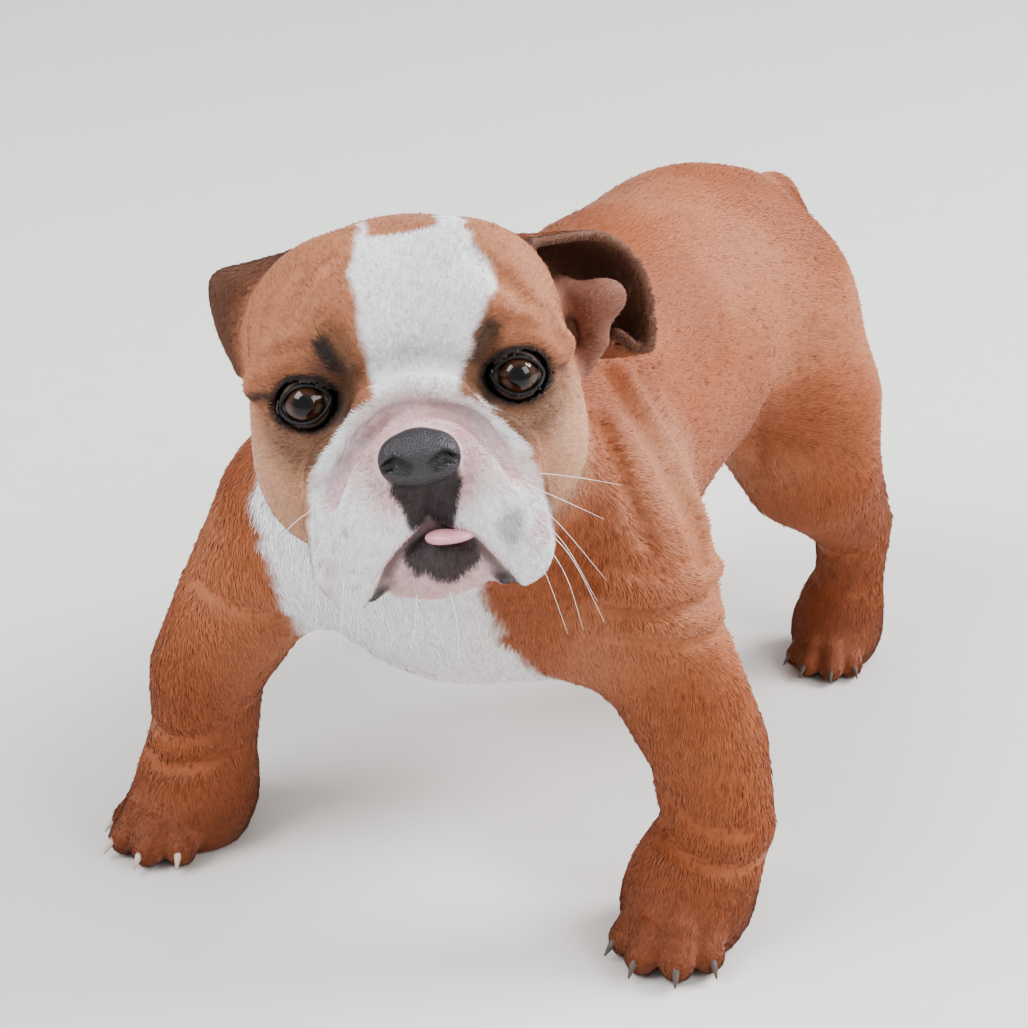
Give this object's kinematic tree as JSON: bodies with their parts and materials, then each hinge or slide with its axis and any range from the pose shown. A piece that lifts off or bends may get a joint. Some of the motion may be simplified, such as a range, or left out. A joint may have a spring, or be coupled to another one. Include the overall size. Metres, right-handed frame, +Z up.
{
  "type": "english bulldog puppy",
  "caption": "Still life-size model of a red and white english bulldog puppy standing braced on splayed forelegs, head turned and tilted to its left.",
  "frame": {"origin": "on the floor, under the middle of the whole puppy's box", "axes": "+Z up from the floor, -Y the way the body faces, +X the puppy's own left"},
  "size_m": [0.2938, 0.4698, 0.3164],
  "materials": {
    "coat_red": "short dense red-tan coat",
    "coat_dark": "short darker coat of the ears",
    "coat_white": "short white coat of the chin",
    "nose_leather": "moist grained nose leather",
    "tongue_pink": "wet pink tongue",
    "eye_dark": "wet dark brown eye"
  },
  "bodies": {
    "root": {"ear_left": "coat_dark", "ear_right": "coat_dark", "eye_left": "eye_dark", "eye_right": "eye_dark", "foreleg_left": "coat_red", "foreleg_right": "coat_red", "forepaw_left": "coat_red", "forepaw_right": "coat_red", "head": "coat_red", "hindpaw_left": "coat_red", "hindpaw_right": "coat_red", "hock_left": "coat_red", "hock_right": "coat_red", "lower_jaw": "coat_white", "neck": "coat_red", "nose": "nose_leather", "tail": "coat_red", "thigh_left": "coat_red", "thigh_right": "coat_red", "tongue": "tongue_pink", "torso": "coat_red"}
  },
  "joints": []
}
